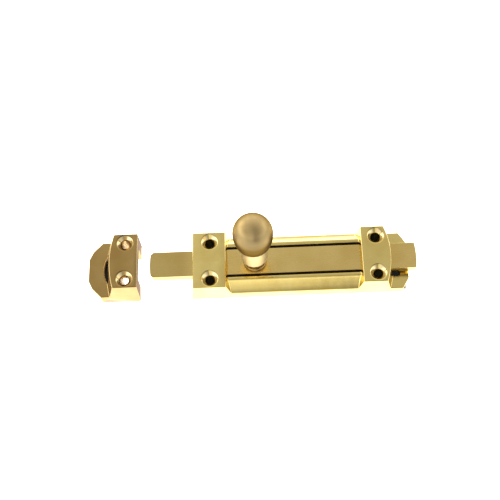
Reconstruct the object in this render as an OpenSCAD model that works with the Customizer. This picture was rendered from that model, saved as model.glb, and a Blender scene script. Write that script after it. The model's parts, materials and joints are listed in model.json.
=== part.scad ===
// Flat-bar surface bolt with knob, and its keeper. Millimetres, +Z up.
// X runs along the bolt and Y across it. Z = 0 is the face that lies on the door, and X = 0
// is midway between the body's screw holes. Inside the modules X = 0 is the body's nose end.
// The bolt is drawn part thrown: it slides towards -X to lock and +X to open.

/* [Body] */
// Length of the body casting
body_len = 101.6; // [96:0.2:110]
// Width of the body casting at its foot
body_w = 28.6; // [28.2:0.2:31]
// Height of the two straps
strap_h = 12.7; // [12:0.1:14]
// Length of the nose-end strap, along its top
strap_len = 15.2; // [13:0.2:17]
// Length of the round-ended strap, along its top
end_strap_len = 13.2; // [12:0.2:14]
// Length of end plate that shows beyond the round-ended strap
tail_len = 8.5; // [7.5:0.1:11]
// Thickness of the end plate
plate_t = 3.9; // [3:0.1:4.4]

/* [Rails] */
// Height of the rails on each side of the bar
rail_h = 9.5; // [9:0.1:9.8]
// Width of the flat ledge along the top of each rail
ledge_w = 1.6; // [1:0.1:2.4]
// Height of the upright outer edge of each rail
skirt_h = 4.9; // [4.4:0.1:5.2]
// Width of the channel between the rails
channel_w = 15.2; // [14.4:0.2:16]

/* [Bolt] */
// Width of the bar
bar_w = 12.7; // [11:0.1:12.8]
// Thickness of the bar
bar_t = 4.1; // [3.6:0.1:4.4]
// Length of the bar
bar_len = 124.2; // [118:0.2:128]
// How far the bar's tip stands out of the body
bar_out = 19; // [14:0.1:20]
// Distance from the body's nose end to the knob's axis
knob_x = 30.2; // [28:0.2:36]

/* [Knob] */
// Largest diameter of the knob
knob_dia = 18; // [15:0.2:20]
// Height of the knob above its washer
knob_h = 38; // [34:0.1:42]
// Diameter of the knob's stem
stem_dia = 12.2; // [10.4:0.2:12.6]

/* [Keeper] */
// Length of the keeper along the bolt
keeper_len = 24.2; // [22:0.2:28]
// Width of the keeper at its foot
keeper_w = 28.4; // [28:0.2:30]
// Height of the keeper's arch
keeper_h = 15.6; // [15:0.1:17]
// Gap between the keeper and the body
keeper_gap = 24; // [12:0.5:30]

/* [Fixings] */
// Clearance hole for a No. 8 countersunk screw
hole_dia = 4; // [3.6:0.1:4.2]
// Diameter of the countersinks
csk_dia = 8; // [7.4:0.1:8.4]
// Distance between the screw holes across the bolt
hole_gap_y = 18.5; // [18.4:0.1:19]

/* [Hidden] */
$fn = 96;
eps = 1;                          // overrun of every cut past the face it opens
slide = 0.3;                      // gap between the bar and the casting around it
bar_z = 5.3;                      // underside of the bar
bar_top = bar_z + bar_t;
tunnel_w = bar_w + 2 * slide;
tunnel_h = bar_top + slide;
end_draft = tan(6.2);             // lean of the nose-end face
foot_draft = tan(15.7);           // lean of the strap faces that meet the rails
round_draft = tan(11.7);          // lean of the round strap's outer face
body_lean = 0.3;                  // how much narrower the body is at strap height, each side
strap_x0 = end_draft * strap_h;
strap_x1 = strap_x0 + strap_len;
round_x1 = body_len - tail_len;
round_x0 = round_x1 - end_strap_len;
round_r = 40;                     // plan radius of the round-ended strap
corner_x = 3.2;                   // end plate's clipped corners
corner_y = 5.2;
bridge_len = 4.2;                 // solid plate left beyond the window in the channel's end
hole_x = [strap_x0 + strap_len / 2 + 0.3, round_x0 + end_strap_len / 2 + 0.2];
tip_x = -bar_out;
tail_x = tip_x + bar_len;
washer_r = 5.4;
washer_t = 1.5;
screw_r = 1.95;                   // shank of the knob screw
screw_clear = 0.15;
spring_t = 0.5;
spring_w = 8;
spring_reach = 34;                // span of the spring's bow
spring_drop = 4.3;                // depth of the bow
pin_r = 1.25;
pin_depth = 3;                    // how deep the pin is pressed into the bar
pin_x = body_len - bridge_len - pin_r - bar_out - slide;  // stops the bar with its tip flush
keeper_x1 = -keeper_gap;
keeper_x0 = keeper_x1 - keeper_len;
keeper_plate_t = 5.8;
keeper_lean = 0.7;                // how much narrower the arch is at its top, each side
arch_len = 13;                    // arch along its top
arch_r = 50;                      // plan radius of the arch's outer end
arch_draft = tan(15.6);
mouth_w = bar_w + 1.8;
mouth_h = 10.7;
mouth_r = 13.4;                   // plan radius of the closed end of the mouth
mouth_x0 = keeper_x0 + 7.1;
keeper_hole = [keeper_x1 - 5.9, 9];

// A shape drawn in X and Z, carried w across Y about Y = 0.
module across(w) {
    translate([0, w / 2, 0])
        rotate([90, 0, 0])
            linear_extrude(w)
                children();
}

// A shape drawn in Y and Z, carried from x0 to x1.
module along(x0, x1) {
    translate([x0, 0, 0])
        rotate([90, 0, 90])
            linear_extrude(x1 - x0)
                children();
}

// A box from x0 to x1, w across Y, from z0 to z1.
module slab(x0, x1, w, z0, z1) {
    translate([x0, -w / 2, z0])
        cube([x1 - x0, w, z1 - z0]);
}

// Section of a casting that leans in by lean on each side, from foot width w to height h.
module leaning_section(w, h, lean) {
    polygon([[-w / 2, 0], [w / 2, 0], [w / 2 - lean, h], [lean - w / 2, h]]);
}

// Countersunk screw hole through material of height h.
module screw_hole(h) {
    translate([0, 0, -eps])
        cylinder(d = hole_dia, h = h + 2 * eps);
    translate([0, 0, h - (csk_dia - hole_dia) / 2])
        cylinder(d1 = hole_dia, d2 = csk_dia + 2 * eps, h = (csk_dia - hole_dia) / 2 + eps);
}

// One rail, on the +Y side: ledge beside the bar, cove down to an upright edge.
module rail() {
    inner = channel_w / 2;
    edge = body_w / 2;
    ledge = inner + ledge_w;
    drop = rail_h - skirt_h;
    run = edge - ledge;
    cove_r = 10;
    span = sqrt(run * run + drop * drop);
    sag = sqrt(cove_r * cove_r - span * span / 4);
    along(strap_x0 + 4, round_x0 + 6)
        difference() {
            polygon([[inner, 0], [edge, 0], [edge, skirt_h], [ledge, rail_h], [inner, rail_h]]);
            translate([(edge + ledge) / 2 + sag * drop / span,
                       (skirt_h + rail_h) / 2 + sag * run / span])
                circle(r = cove_r);
        }
}

// Square strap at the nose end, its floor carrying the bar.
module nose_strap() {
    inner_foot = strap_x1 + foot_draft * strap_h;
    across(body_w)
        polygon([[0, 0], [inner_foot, 0], [strap_x1, strap_h], [strap_x0, strap_h]]);
}

// Strap with the curved outer end.
module round_strap() {
    inner_foot = round_x0 - foot_draft * strap_h;
    intersection() {
        across(body_w)
            polygon([[inner_foot, 0], [body_len, 0], [body_len, strap_h], [round_x0, strap_h]]);
        translate([round_x1 - round_r, 0, 0])
            cylinder(r1 = round_r + round_draft * strap_h, r2 = round_r, h = strap_h);
    }
}

// Flat plate under everything, with two clipped corners at the tail end.
module end_plate() {
    half = body_w / 2;
    linear_extrude(plate_t)
        polygon([[2, -half], [body_len - corner_x, -half], [body_len, corner_y - half],
                 [body_len, half - corner_y], [body_len - corner_x, half], [2, half]]);
}

// Everything the bar and its stop pin run in.
module body_hollow() {
    floor_x = strap_x1 + 1.4;
    channel_x1 = round_x0 - 1.4;
    window_x1 = body_len - bridge_len;
    slab(-eps, window_x1, tunnel_w, skirt_h, tunnel_h);
    slab(floor_x, channel_x1, channel_w, -eps, rail_h + eps);
    slab(channel_x1 - eps, window_x1, tunnel_w, -eps, skirt_h + eps);
    slab(round_x1 - 1, window_x1, channel_w + 0.6, -eps, skirt_h + eps);
}

module body_casting() {
    color("Goldenrod")
        difference() {
            intersection() {
                along(-eps, body_len + eps)
                    leaning_section(body_w, strap_h, body_lean);
                union() {
                    end_plate();
                    rail();
                    mirror([0, 1, 0])
                        rail();
                    nose_strap();
                    round_strap();
                }
            }
            body_hollow();
            for (x = hole_x, side = [-1, 1])
                translate([x, side * hole_gap_y / 2, 0])
                    screw_hole(strap_h);
        }
}

// Flat bar: bowed ends, clipped corners, holes for the knob screw and the stop pin.
module bolt_bar() {
    half = bar_w / 2;
    bow_r = 40;
    nose_cut = 1.6;
    tail_cut = 0.8;
    color("DarkKhaki")
        difference() {
            translate([0, 0, bar_z])
                linear_extrude(bar_t)
                    difference() {
                        polygon([[tip_x, nose_cut - half], [tip_x + nose_cut, -half],
                                 [tail_x - tail_cut, -half], [tail_x, tail_cut - half],
                                 [tail_x, half - tail_cut], [tail_x - tail_cut, half],
                                 [tip_x + nose_cut, half], [tip_x, half - nose_cut]]);
                        bar_end_trim(tip_x, tip_x + bow_r, bow_r);
                        bar_end_trim(tail_x, tail_x - bow_r, bow_r);
                    }
            translate([knob_x, 0, 0])
                cylinder(r = screw_r + screw_clear, h = 20);
            translate([pin_x, 0, 0])
                cylinder(r = pin_r, h = bar_z + pin_depth);
        }
}

// What is filed off one end of the bar to bow it: the end strip outside the bow's circle.
module bar_end_trim(end_x, centre_x, r) {
    difference() {
        translate([end_x, 0])
            square([2, bar_w + 2], center = true);
        translate([centre_x, 0])
            circle(r = r);
    }
}

// Half section of the knob with its foot at Z = 0: a plain stem under an egg-shaped head.
module knob_section() {
    head = knob_dia / 2;
    stem = stem_dia / 2;
    foot_h = 2.8;
    half_h = 10;
    steps = 12;
    mid_z = knob_h - half_h;
    lower = [for (i = [0 : steps])
        let (a = 90 * i / steps)
            [stem + (head - stem) * sin(a), mid_z - half_h * cos(a)]];
    upper = [for (i = [1 : steps])
        let (a = 90 * i / steps)
            [head * cos(a), mid_z + half_h * sin(a)]];
    polygon(concat(
        [[0, 0], [4.5, 0], [4.5, foot_h], [stem - 1, foot_h], [stem, foot_h + 1.4]],
        lower, upper));
}

module knob() {
    color("Gold")
        translate([knob_x, 0, bar_top + washer_t])
            difference() {
                rotate_extrude()
                    knob_section();
                translate([0, 0, -eps])
                    cylinder(r = screw_r + 0.05, h = 10 + eps);
            }
}

module knob_washer() {
    color("DarkGoldenrod")
        translate([knob_x, 0, bar_top])
            difference() {
                cylinder(r = washer_r, h = washer_t);
                translate([0, 0, -eps])
                    cylinder(r = screw_r + screw_clear, h = washer_t + 2 * eps);
            }
}

// Pan-head machine screw, head down, its thread inside the knob.
module knob_screw() {
    head_h = 1.8;
    head_top = bar_z - spring_t;
    color("Silver")
        translate([knob_x, 0, head_top])
            difference() {
                union() {
                    translate([0, 0, -head_h])
                        cylinder(r = 3.5, h = head_h);
                    translate([0, 0, -0.5])
                        cylinder(r = screw_r, h = 0.5 + spring_t + bar_t + washer_t + 9);
                }
                translate([0, 0, 0.4 - head_h])
                    cube([8, 0.9, 0.8], center = true);
            }
}

// Leaf spring: flat under the bar at the knob, then bowed down to the door and up again.
module friction_spring() {
    flat_x0 = knob_x - 4.7;
    flat_x1 = knob_x + 6;
    bow_r = (spring_reach * spring_reach / 4 + spring_drop * spring_drop) / (2 * spring_drop);
    color("Peru")
        difference() {
            union() {
                slab(flat_x0, flat_x1 + 0.2, spring_w, bar_z - spring_t, bar_z);
                intersection() {
                    slab(flat_x1, flat_x1 + spring_reach, spring_w, 0, bar_z);
                    translate([flat_x1 + spring_reach / 2, 0, bar_z - spring_drop + bow_r - spring_t])
                        rotate([90, 0, 0])
                            difference() {
                                cylinder(r = bow_r, h = spring_w + 2, center = true);
                                cylinder(r = bow_r - spring_t, h = spring_w + 4, center = true);
                            }
                }
            }
            translate([knob_x, 0, 0])
                cylinder(r = screw_r + screw_clear, h = 10);
        }
}

module stop_pin() {
    color("DimGray")
        translate([pin_x, 0, 0.7])
            cylinder(r = pin_r, h = bar_z + pin_depth - 0.7);
}

// Outline of the keeper's plate: square towards the bolt, clipped at the far end.
module keeper_plate() {
    half = keeper_w / 2;
    linear_extrude(keeper_plate_t)
        polygon([[keeper_x1, -half], [keeper_x1, half], [keeper_x0 + 6.4, half],
                 [keeper_x0 + 1.8, half - 4.8], [keeper_x0, half - 8.6],
                 [keeper_x0, 8.6 - half], [keeper_x0 + 1.8, 4.8 - half],
                 [keeper_x0 + 6.4, -half]]);
}

// Arch over the mouth: upright towards the bolt, curved and leaning at the far end.
module keeper_arch() {
    arch_x0 = keeper_x1 - arch_len;
    intersection() {
        slab(keeper_x0, keeper_x1, keeper_w, 0, keeper_h);
        translate([arch_x0 + arch_r, 0, 0])
            cylinder(r1 = arch_r + arch_draft * keeper_h, r2 = arch_r, h = keeper_h);
    }
}

// The mouth the bar enters, open at the back and closed by a shallow arc at the far end.
module keeper_mouth() {
    translate([0, 0, -eps])
        linear_extrude(mouth_h + eps)
            intersection() {
                translate([mouth_x0, -mouth_w / 2])
                    square([keeper_x1 - mouth_x0 + eps, mouth_w]);
                union() {
                    translate([mouth_x0 + mouth_r, 0])
                        circle(r = mouth_r);
                    translate([mouth_x0 + mouth_r, -mouth_w])
                        square([keeper_len, mouth_w * 2]);
                }
            }
}

module keeper() {
    color("Peru")
        difference() {
            intersection() {
                along(keeper_x0, keeper_x1)
                    leaning_section(keeper_w, keeper_h, keeper_lean);
                union() {
                    keeper_plate();
                    keeper_arch();
                }
            }
            keeper_mouth();
            for (side = [-1, 1])
                translate([keeper_hole[0], side * keeper_hole[1], 0])
                    screw_hole(keeper_h);
        }
}

// Moves a node from the modules' X = 0 to the frame's.
module placed() {
    translate([-(hole_x[0] + hole_x[1]) / 2, 0, 0])
        children();
}

placed() body_casting();
placed() bolt_bar();
placed() knob();
placed() knob_washer();
placed() knob_screw();
placed() friction_spring();
placed() stop_pin();
placed() keeper();
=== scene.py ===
"""Looks of the flat-bar surface bolt: cast, rolled and turned brass on a white light table.

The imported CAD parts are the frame. The castings and the bar are shown as copies of their CAD
meshes with rounded edges, and the knob and its washer as finer lathe work in the same place.
The screw, the spring and the stop pin are the CAD parts themselves. Lengths are in metres.
"""

import json
import math

import bmesh
import bpy
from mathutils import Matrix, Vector

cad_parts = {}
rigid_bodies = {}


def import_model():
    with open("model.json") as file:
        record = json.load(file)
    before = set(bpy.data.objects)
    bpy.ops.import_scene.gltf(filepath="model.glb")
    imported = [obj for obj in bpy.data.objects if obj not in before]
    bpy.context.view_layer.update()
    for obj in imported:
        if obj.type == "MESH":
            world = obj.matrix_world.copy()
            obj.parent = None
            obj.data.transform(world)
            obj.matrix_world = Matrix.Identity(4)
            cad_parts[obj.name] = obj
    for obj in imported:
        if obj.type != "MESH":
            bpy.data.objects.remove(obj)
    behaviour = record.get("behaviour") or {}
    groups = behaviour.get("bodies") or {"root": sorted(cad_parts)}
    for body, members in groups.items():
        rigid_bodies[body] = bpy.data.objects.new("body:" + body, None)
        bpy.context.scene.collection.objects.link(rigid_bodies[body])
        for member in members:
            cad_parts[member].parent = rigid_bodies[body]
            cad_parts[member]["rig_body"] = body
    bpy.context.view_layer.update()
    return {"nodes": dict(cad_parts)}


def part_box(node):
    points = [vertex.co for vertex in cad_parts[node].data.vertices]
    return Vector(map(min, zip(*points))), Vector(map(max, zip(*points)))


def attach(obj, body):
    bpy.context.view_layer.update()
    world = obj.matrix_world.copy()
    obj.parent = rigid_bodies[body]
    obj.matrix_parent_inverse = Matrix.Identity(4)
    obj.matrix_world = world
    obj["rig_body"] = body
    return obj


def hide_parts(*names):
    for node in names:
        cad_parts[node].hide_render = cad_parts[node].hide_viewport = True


MM = 0.001

# Faces round a turned piece, and steps round one of its fillets
LATHE_STEPS = 128
FILLET_STEPS = 6

# The knob, from its foot up: a narrow neck, the stem, and the head
NECK_R = 4.5 * MM
NECK_H = 2.8 * MM
STEM_R = 6.1 * MM
HEAD_H = 20 * MM

# Freshly cut brass in the countersinks, painted paler still as a painted highlight
DRILLED_AND_HIGHLIGHT = (0.93, 0.76, 0.42)

# Light given off by the table close round the bolt, further out, and in the painted shadow of the
# bolt's gaps
NEAR_TABLE = 2.5
FAR_TABLE = 0.85
SHADED_TABLE = 0.005

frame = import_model()
nodes = frame["nodes"]
scene = bpy.context.scene


# Pieces ----------------------------------------------------------------------------------

def link(name, data):
    """A new object in the scene."""
    made = bpy.data.objects.new(name, data)
    scene.collection.objects.link(made)
    return made


def stand_for(made, node):
    """Shows made in place of a CAD node, riding on the node's body."""
    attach(made, nodes[node]["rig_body"])
    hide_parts(node)
    return made


def mesh_object(name, work):
    """A mesh object made from a bmesh, which is used up."""
    mesh = bpy.data.meshes.new(name)
    work.to_mesh(mesh)
    work.free()
    return link(name, mesh)


def smooth_object(name, work):
    """A mesh object in which only rounded edges shade as curves."""
    for face in work.faces:
        face.smooth = True
    made = mesh_object(name, work)
    weigh = made.modifiers.new("weighted normals", "WEIGHTED_NORMAL")
    weigh.mode = "FACE_AREA_WITH_ANGLE"
    weigh.weight = 100
    return made


def rounded_copy(node, name, radius):
    """A copy of a CAD node whose edges sharper than 25 degrees are rounded, save at the foot."""
    work = bmesh.new()
    work.from_mesh(nodes[node].data)
    bmesh.ops.remove_doubles(work, verts=work.verts, dist=0.002 * MM)
    sharp = math.radians(25)
    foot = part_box(node)[0].z + 0.1 * MM
    edges = [
        e
        for e in work.edges
        if e.is_manifold
        and e.calc_face_angle() > sharp
        and max(v.co.z for v in e.verts) > foot
    ]
    bmesh.ops.bevel(
        work,
        geom=edges,
        offset=radius,
        offset_type="OFFSET",
        segments=3,
        profile=0.5,
        affect="EDGES",
        clamp_overlap=False,
        miter_outer="ARC",
    )
    return stand_for(smooth_object(name, work), node)


def rounded_corners(outline):
    """Points (radius, height) of an outline given as (radius, height, fillet at the corner)."""
    points = []
    for i, (r, z, fillet) in enumerate(outline):
        corner = Vector((r, z))
        if fillet == 0:
            points.append(corner)
            continue
        before = (Vector(outline[i - 1][:2]) - corner).normalized()
        after = (Vector(outline[(i + 1) % len(outline)][:2]) - corner).normalized()
        half = before.angle(after) / 2
        start = corner + before * fillet / math.tan(half)
        end = corner + after * fillet / math.tan(half)
        centre = corner + (before + after).normalized() * fillet / math.sin(half)
        for k in range(FILLET_STEPS + 1):
            toward = start.lerp(end, k / FILLET_STEPS) - centre
            points.append(centre + toward.normalized() * fillet)
    return points


def lathe(name, outline, axis_x, base_z):
    """A closed outline turned about the vertical through axis_x, its height 0 at base_z."""
    work = bmesh.new()
    rings = []
    turn = [2 * math.pi * k / LATHE_STEPS for k in range(LATHE_STEPS)]
    for r, z in outline:
        on_axis = r < 1e-9
        rings.append(
            [
                work.verts.new((axis_x + r * math.cos(a), r * math.sin(a), base_z + z))
                for a in (turn[:1] if on_axis else turn)
            ]
        )
    for lower, upper in zip(rings, rings[1:] + rings[:1]):
        if len(lower) == len(upper) == 1:
            continue
        for k in range(LATHE_STEPS):
            n = (k + 1) % LATHE_STEPS
            corners = [lower[k % len(lower)], lower[n % len(lower)]]
            corners += [upper[n % len(upper)], upper[k % len(upper)]]
            work.faces.new(list(dict.fromkeys(corners)))
    bmesh.ops.recalc_face_normals(work, faces=work.faces)
    return smooth_object(name, work)


def make_knob():
    """Knob: bored neck, plain stem with its lower edge eased, egg-shaped head."""
    low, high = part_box("knob")
    head_r = (high.x - low.x) / 2
    bore_r = 2.0 * MM
    bore_h = 10 * MM
    ease_r = 1.2 * MM
    ease_h = 2.2 * MM
    half_h = HEAD_H / 2
    mid_z = high.z - low.z - half_h
    steps = 32
    outline = [(0, bore_h, 0), (bore_r, bore_h, 0), (bore_r, 0, 0)]
    outline += [(NECK_R, 0, 0.3 * MM), (NECK_R, NECK_H, 0.4 * MM)]
    outline += [(STEM_R - ease_r, NECK_H, 0.4 * MM), (STEM_R, NECK_H + ease_h, 1.2 * MM)]
    for i in range(steps):
        a = math.pi / 2 * i / steps
        r = STEM_R + (head_r - STEM_R) * math.sin(a)
        outline.append((r, mid_z - half_h * math.cos(a), 0))
    for i in range(steps + 1):
        a = math.pi / 2 * (1 - i / steps)
        outline.append((head_r * math.sin(a), mid_z + half_h * math.cos(a), 0))
    made = lathe("knob_turned", rounded_corners(outline), (low.x + high.x) / 2, low.z)
    return stand_for(made, "knob")


def make_washer():
    """Turned collar between the knob and the bar, its outer edges eased."""
    low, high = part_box("knob_washer")
    outer = (high.x - low.x) / 2
    inner = 2.1 * MM
    height = high.z - low.z
    ease = 0.35 * MM
    outline = [(inner, 0, 0), (outer, 0, ease), (outer, height, ease), (inner, height, 0)]
    made = lathe("washer_turned", rounded_corners(outline), (low.x + high.x) / 2, low.z)
    return stand_for(made, "knob_washer")


# Materials -------------------------------------------------------------------------------

def feed(tree, socket, value):
    """Gives an input its value, or a link if the value is another node's socket."""
    if isinstance(value, bpy.types.NodeSocket):
        tree.links.new(value, socket)
    else:
        socket.default_value = value


def coordinates(tree, kind):
    """X, Y and Z of a texture coordinate, as three sockets."""
    place = tree.nodes.new("ShaderNodeTexCoord").outputs[kind]
    parts = tree.nodes.new("ShaderNodeSeparateXYZ")
    feed(tree, parts.inputs["Vector"], place)
    return parts.outputs


def arithmetic(tree, operation, *values):
    """A Math node fed with numbers or sockets."""
    made = tree.nodes.new("ShaderNodeMath")
    made.operation = operation
    for socket, value in zip(made.inputs, values):
        feed(tree, socket, value)
    return made


class Finish:
    """A metal whose colour, roughness and relief vary by procedural nodes."""

    def __init__(self, name):
        self.material = bpy.data.materials.new(name)
        self.material.use_nodes = True
        self.tree = self.material.node_tree
        self.shader = self.tree.nodes["Principled BSDF"]
        self.shader.inputs["Metallic"].default_value = 1
        self.place = self.node("ShaderNodeTexCoord").outputs["Object"]

    def node(self, kind, **inputs):
        """A new node whose named inputs are fed with values or sockets."""
        made = self.tree.nodes.new(kind)
        for key, value in inputs.items():
            feed(self.tree, made.inputs[key.replace("_", " ")], value)
        return made

    def stretched(self, x, y, z):
        """Object coordinates scaled by x, y and z."""
        return self.node("ShaderNodeMapping", Vector=self.place, Scale=(x, y, z)).outputs["Vector"]

    def noise(self, scale, detail=2.0, roughness=0.5, vector=None):
        """Noise of about 1 / scale metres, 0 to 1."""
        made = self.node(
            "ShaderNodeTexNoise",
            Vector=vector or self.place,
            Scale=scale,
            Detail=detail,
            Roughness=roughness,
        )
        return made.outputs["Fac"]

    def ranged(self, value, low, high, to_low, to_high):
        """value from low..high carried to to_low..to_high, clamped."""
        made = self.node(
            "ShaderNodeMapRange",
            Value=value,
            From_Min=low,
            From_Max=high,
            To_Min=to_low,
            To_Max=to_high,
        )
        return made.outputs["Result"]

    def mixed(self, factor, first, second):
        """Colour from first to second by factor; each is a colour or a socket."""
        made = self.tree.nodes.new("ShaderNodeMix")
        made.data_type = "RGBA"
        feed(self.tree, made.inputs["Factor"], factor)
        colours = [s for s in made.inputs if s.type == "RGBA"]
        for socket, colour in zip(colours, (first, second)):
            is_socket = isinstance(colour, bpy.types.NodeSocket)
            feed(self.tree, socket, colour if is_socket else (*colour, 1))
        return next(s for s in made.outputs if s.type == "RGBA")

    def math(self, operation, *values):
        """Arithmetic on numbers or sockets."""
        return arithmetic(self.tree, operation, *values).outputs["Value"]

    def around(self, axis_x):
        """Distance from the vertical line through axis_x, as a vector for ring patterns."""
        x, y, z = coordinates(self.tree, "Object")
        off_axis = self.math("SUBTRACT", x, axis_x)
        squares = self.math(
            "ADD", self.math("MULTIPLY", off_axis, off_axis), self.math("MULTIPLY", y, y)
        )
        distance = self.math("SQRT", squares)
        return self.node("ShaderNodeCombineXYZ", X=distance, Z=z).outputs["Vector"]

    def along(self, axis):
        """Place on an axis, in metres."""
        return coordinates(self.tree, "Object")[axis]

    def corners(self, reach):
        """1 in the open and less where other metal stands within reach."""
        made = self.node("ShaderNodeAmbientOcclusion", Distance=reach)
        made.samples = 8
        return made.outputs["AO"]

    def facing(self, axis):
        """How squarely the surface faces along an axis, -1 to 1."""
        normal = self.node("ShaderNodeNewGeometry").outputs["Normal"]
        return self.node("ShaderNodeSeparateXYZ", Vector=normal).outputs[axis]

    def relief(self, *layers):
        """Bump layers, each (height socket, depth in metres)."""
        normal = None
        for height, depth in layers:
            made = self.node("ShaderNodeBump", Height=height, Distance=depth)
            if normal:
                feed(self.tree, made.inputs["Normal"], normal)
            normal = made.outputs["Normal"]
        feed(self.tree, self.shader.inputs["Normal"], normal)

    def finish(self, colour, roughness):
        """Joins colour and roughness to the shader and returns the material."""
        feed(self.tree, self.shader.inputs["Base Color"], colour)
        feed(self.tree, self.shader.inputs["Roughness"], roughness)
        return self.material


def cast_brass(name, clean, aged, tarnish_and_shade, roughness, rough_and_shade_amount=0.0):
    """Casting ground flat, buffed along its length, darker in its corners.

    The countersinks are cut bright and painted paler still, a painted highlight. The last
    argument is how far the faces towards +X are made rough and painted dark, a painted shade.
    """
    f = Finish(name)
    clouds = f.noise(90, 3)
    specks = f.noise(900, 4, 0.7)
    scratches = f.noise(260, 5, 0.75, f.stretched(0.12, 2.2, 2.2))
    swell = f.noise(130, 1.5)
    colour = f.mixed(f.ranged(clouds, 0.35, 0.7, 0, 1), clean, aged)
    colour = f.mixed(f.ranged(specks, 0.62, 0.78, 0, 0.35), colour, tarnish_and_shade)
    colour = f.mixed(f.ranged(f.corners(1.6 * MM), 0.1, 0.55, 0.85, 0), colour, tarnish_and_shade)
    rough = f.ranged(scratches, 0.3, 0.7, roughness * 0.8, roughness * 1.35)
    # Countersinks slope at 45 degrees. Parts of the coves do too, but only across the bolt.
    not_upright = f.ranged(f.facing("Z"), 0.6, 0.67, 0, 1)
    not_flat = f.ranged(f.facing("Z"), 0.75, 0.82, 1, 0)
    not_cove = f.ranged(f.math("ABSOLUTE", f.facing("X")), 0.1, 0.25, 0, 1)
    drilled_and_highlight = f.math("MULTIPLY", f.math("MULTIPLY", not_upright, not_flat), not_cove)
    # The countersinks are painted paler: cut brass, and a painted highlight.
    colour = f.mixed(drilled_and_highlight, colour, DRILLED_AND_HIGHLIGHT)
    # Faces towards +X are made rough and painted darker, a painted shade.
    rough_and_shade = f.ranged(f.facing("X"), 0.85, 0.97, 0, rough_and_shade_amount)
    colour = f.mixed(rough_and_shade, colour, tarnish_and_shade)
    rough = f.math("MAXIMUM", rough, f.math("MULTIPLY", rough_and_shade, 0.6))
    f.relief((swell, 0.10 * MM), (scratches, 0.006 * MM), (specks, 0.004 * MM))
    return f.finish(colour, rough)


def bar_brass(name, clean, aged, roughness):
    """Drawn flat bar, half-matt, with fine lines along it, darker over the end that enters the
    keeper.
    """
    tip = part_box("bolt_bar")[0].x
    f = Finish(name)
    clouds = f.noise(70, 3)
    lines = f.noise(420, 5, 0.8, f.stretched(0.04, 2.5, 2.5))
    specks = f.noise(1100, 4, 0.7)
    colour = f.mixed(f.ranged(clouds, 0.3, 0.7, 0, 1), clean, aged)
    colour = f.mixed(f.ranged(specks, 0.64, 0.8, 0, 0.3), colour, aged)
    # Darker over the end that enters the keeper.
    darker_at_tip = f.ranged(f.along("X"), tip + 14 * MM, tip + 26 * MM, 0.45, 0)
    colour = f.mixed(darker_at_tip, colour, tuple(c / 2 for c in aged))
    rough = f.ranged(lines, 0.3, 0.7, roughness * 0.8, roughness * 1.3)
    f.relief((clouds, 0.03 * MM), (lines, 0.008 * MM))
    return f.finish(colour, rough)


def turned_brass(name, clean, aged, tarnish_and_shade, stem_highlight, roughness):
    """Lathe work: faint rings round the axis under a polished, handled surface.

    The head's sides and underside are painted darker, a painted shade, and its top is left
    bright. The stem is painted paler, a painted highlight, and is left rougher.
    """
    low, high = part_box("knob")
    head_z = high.z - HEAD_H + 1 * MM
    neck_z = low.z + NECK_H
    f = Finish(name)
    rings = f.noise(2600, 3, 0.6, f.around((low.x + high.x) / 2))
    handling = f.noise(220, 3)
    swell = f.noise(120, 1)
    on_head = f.ranged(f.along("Z"), head_z, head_z + 1.5 * MM, 0, 1)
    above_neck = f.ranged(f.along("Z"), neck_z, neck_z + 0.6 * MM, 0, 1)
    on_stem = f.math("SUBTRACT", above_neck, on_head)
    sides = f.math("MULTIPLY", f.ranged(f.facing("Z"), 0.62, 0.9, 1, 0), on_head)
    under = f.math("MULTIPLY", f.ranged(f.facing("Z"), 0.05, 0.4, 0.9, 0), on_head)
    colour = f.mixed(f.ranged(handling, 0.35, 0.7, 0, 1), clean, aged)
    colour = f.mixed(f.ranged(f.corners(1.2 * MM), 0.2, 0.8, 0.8, 0), colour, tarnish_and_shade)
    # Painted highlight: the stem painted paler.
    colour = f.mixed(f.math("MULTIPLY", on_stem, 0.7), colour, stem_highlight)
    # Painted shade: the head's sides darker, and its underside darker still.
    colour = f.mixed(sides, colour, tarnish_and_shade)
    colour = f.mixed(under, colour, tuple(c / 2 for c in tarnish_and_shade))
    rough = f.ranged(handling, 0.3, 0.7, roughness * 0.8, roughness * 1.4)
    rough = f.math("ADD", rough, f.math("MULTIPLY", on_head, 0.26))
    rough = f.math("ADD", rough, f.math("MULTIPLY", on_stem, 0.35))
    f.relief((swell, 0.08 * MM), (rings, 0.002 * MM))
    f.shader.inputs["Specular Tint"].default_value = (0.36, 0.27, 0.17, 1)
    return f.finish(colour, rough)


def rolled_metal(name, clean, aged, roughness):
    """Rolled or drawn metal of the inner parts, with a fine directionless grain."""
    f = Finish(name)
    grain = f.noise(1500, 4, 0.7)
    clouds = f.noise(160, 3)
    colour = f.mixed(f.ranged(clouds, 0.35, 0.65, 0, 1), clean, aged)
    rough = f.ranged(grain, 0.3, 0.7, roughness * 0.8, roughness * 1.3)
    f.relief((grain, 0.006 * MM))
    return f.finish(colour, rough)


def paint(piece, material):
    """Gives the piece this material alone."""
    piece.data.materials.clear()
    piece.data.materials.append(material)


# Stage -----------------------------------------------------------------------------------

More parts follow.
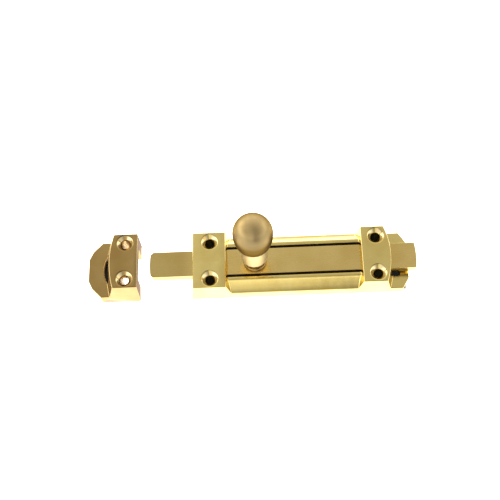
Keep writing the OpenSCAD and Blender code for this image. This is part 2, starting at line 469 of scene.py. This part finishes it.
def table_sockets(tree):
    """Whiteness and emission of the table, as sockets of its material.

    It shines brightest close round the bolt and more faintly further out. Under the body and under
    the closed end of the keeper's mouth it is painted dark, a painted shadow.
    """
    place = coordinates(tree, "Object")

    def number(operation, *values):
        """Arithmetic on numbers or sockets."""
        return arithmetic(tree, operation, *values).outputs["Value"]

    def outside(low, high, start, end):
        """0 up to start outside a rectangle, 1 from end on."""
        past = []
        for axis in range(2):
            off_centre = number("SUBTRACT", place[axis], (low[axis] + high[axis]) / 2)
            off_centre = number("ABSOLUTE", off_centre)
            past.append(number("SUBTRACT", off_centre, (high[axis] - low[axis]) / 2))
        slope = 1 / (end - start)
        furthest = number("MAXIMUM", *past)
        grown = arithmetic(tree, "MULTIPLY_ADD", furthest, slope, -start * slope)
        grown.use_clamp = True
        return grown.outputs["Value"]

    body_low, body_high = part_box("body_casting")
    keeper_low, keeper_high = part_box("keeper")
    closed_low = keeper_low + Vector((2, 6, 0)) * MM
    closed_high = keeper_high - Vector((10, 6, 0)) * MM
    far = outside(keeper_low, body_high, 8 * MM, 60 * MM)
    light = number("MULTIPLY_ADD", far, FAR_TABLE - NEAR_TABLE, NEAR_TABLE)
    white = 0.9
    # Painted shadow: dark under the body and under the closed end of the keeper's mouth.
    for low, high in ((body_low, body_high), (closed_low, closed_high)):
        shade = number("MAXIMUM", outside(low, high, -2 * MM, 0), SHADED_TABLE)
        white = number("MULTIPLY", shade, white)
    return white, number("MULTIPLY", light, white)


def make_table():
    """White table lit from within, a hair under the bolt so that no two faces coincide."""
    work = bmesh.new()
    bmesh.ops.create_grid(work, x_segments=1, y_segments=1, size=1.2)
    table = mesh_object("table", work)
    table.location.z = -0.02 * MM
    material = bpy.data.materials.new("table_white")
    material.use_nodes = True
    tree = material.node_tree
    shader = tree.nodes["Principled BSDF"]
    shader.inputs["Roughness"].default_value = 0.8
    shader.inputs["Emission Color"].default_value = (1, 0.985, 0.95, 1)
    white, light = table_sockets(tree)
    feed(tree, shader.inputs["Base Color"], white)
    feed(tree, shader.inputs["Emission Strength"], light)
    paint(table, material)


def make_world():
    """Warm room: dim overhead, brighter at the back, low in front and low at the sides.

    Something dark stands in front, a little to the right.
    """
    world = bpy.data.worlds.new("studio")
    scene.world = world
    world.use_nodes = True
    tree = world.node_tree

    def ramp(value, stops):
        """Brightness at each stop along value, which runs from -1 to 1."""
        fit = tree.nodes.new("ShaderNodeMapRange")
        fit.inputs["From Min"].default_value = -1
        feed(tree, fit.inputs["Value"], value)
        made = tree.nodes.new("ShaderNodeValToRGB")
        made.color_ramp.interpolation = "EASE"
        elements = made.color_ramp.elements
        while len(elements) < len(stops):
            elements.new(0.5)
        for element, (position, level) in zip(elements, stops):
            element.position = (position + 1) / 2
            element.color = (level, level, level, 1)
        feed(tree, made.inputs["Fac"], fit.outputs["Result"])
        return made.outputs["Color"]

    def combine(operation, first, second):
        """Arithmetic on two colours, channel by channel."""
        made = tree.nodes.new("ShaderNodeVectorMath")
        made.operation = operation
        feed(tree, made.inputs[0], first)
        feed(tree, made.inputs[1], second)
        return made.outputs["Vector"]

    x, y, z = coordinates(tree, "Generated")
    room = ramp(y, [(-1, 1.2), (-0.86, 1), (-0.4, 0.42), (-0.1, 0.5), (0.35, 0.58), (1, 1)])
    beside = ramp(x, [(-1, 1), (0, 1), (0.17, 0.3), (0.4, 0.5), (0.7, 1), (1, 1)])
    behind = ramp(y, [(-1, 0), (-0.2, 0), (0.1, 1), (1, 1)])
    sides = ramp(x, [(-1, 1), (-0.8, 1), (-0.5, 0.1), (0, 0), (0.6, 0), (0.85, 0.6), (1, 0.6)])
    low = ramp(z, [(-1, 0), (-0.1, 0.2), (0.08, 1), (0.3, 0.8), (0.42, 0.1), (0.55, 0), (1, 0)])
    room = combine("MULTIPLY", room, combine("MAXIMUM", beside, behind))
    glow = combine("MULTIPLY", sides, low)
    room = combine("MULTIPLY", room, (1.0, 0.97, 0.92))
    glow = combine("MULTIPLY", glow, (2.1, 2.1, 1.9))
    feed(tree, tree.nodes["Background"].inputs["Color"], combine("ADD", room, glow))


def make_lamp(name, place, size, watts):
    """Soft square light aimed at the bolt."""
    lamp = link(name, bpy.data.lights.new(name, "AREA"))
    lamp.data.size = size
    lamp.data.energy = watts
    lamp.location = place
    lamp.rotation_euler = (-Vector(place)).to_track_quat("-Z", "Y").to_euler()


def make_camera():
    """Camera above and in front of the bolt, looking down at 66 degrees."""
    camera = link("camera", bpy.data.cameras.new("camera"))
    camera.data.sensor_width = 36
    camera.data.lens = 68.93
    camera.data.clip_start = 0.01
    camera.location = (-9.71 * MM, -181.72 * MM, 416.4 * MM)
    camera.rotation_euler = [math.radians(a) for a in (24.669, 2.137, -1.522)]
    scene.camera = camera


# The scene -------------------------------------------------------------------------------

make_camera()
make_table()
make_world()
make_lamp("key_light", place=(-0.55, 0.25, 0.75), size=0.9, watts=0.3)
scene.view_settings.view_transform = "Standard"

casting = rounded_copy("body_casting", "body_rounded", 0.35 * MM)
keeper = rounded_copy("keeper", "keeper_rounded", 0.4 * MM)
bar = rounded_copy("bolt_bar", "bar_rounded", 0.25 * MM)
knob = make_knob()
washer = make_washer()

body_cast = cast_brass(
    "body_cast",
    clean=(0.86, 0.69, 0.25),
    aged=(0.78, 0.6, 0.19),
    tarnish_and_shade=(0.25, 0.13, 0.03),
    roughness=0.17,
)
keeper_cast = cast_brass(
    "keeper_cast",
    clean=(0.48, 0.33, 0.12),
    aged=(0.41, 0.26, 0.08),
    tarnish_and_shade=(0.17, 0.09, 0.04),
    roughness=0.2,
    rough_and_shade_amount=1,
)
bar_drawn = bar_brass(
    "bar_drawn",
    clean=(0.84, 0.64, 0.24),
    aged=(0.74, 0.53, 0.17),
    roughness=0.24,
)
polished = turned_brass(
    "knob_polished",
    clean=(0.74, 0.55, 0.26),
    aged=(0.65, 0.47, 0.2),
    tarnish_and_shade=(0.38, 0.28, 0.13),
    stem_highlight=(0.95, 0.82, 0.5),
    roughness=0.13,
)
bronze = rolled_metal(
    "spring_bronze",
    clean=(0.62, 0.36, 0.16),
    aged=(0.45, 0.24, 0.1),
    roughness=0.3,
)
steel = rolled_metal(
    "plain_steel",
    clean=(0.56, 0.55, 0.53),
    aged=(0.4, 0.39, 0.38),
    roughness=0.32,
)
for piece, material in (
    (casting, body_cast),
    (keeper, keeper_cast),
    (bar, bar_drawn),
    (knob, polished),
    (washer, polished),
    (nodes["friction_spring"], bronze),
    (nodes["knob_screw"], steel),
    (nodes["stop_pin"], steel),
):
    paint(piece, material)
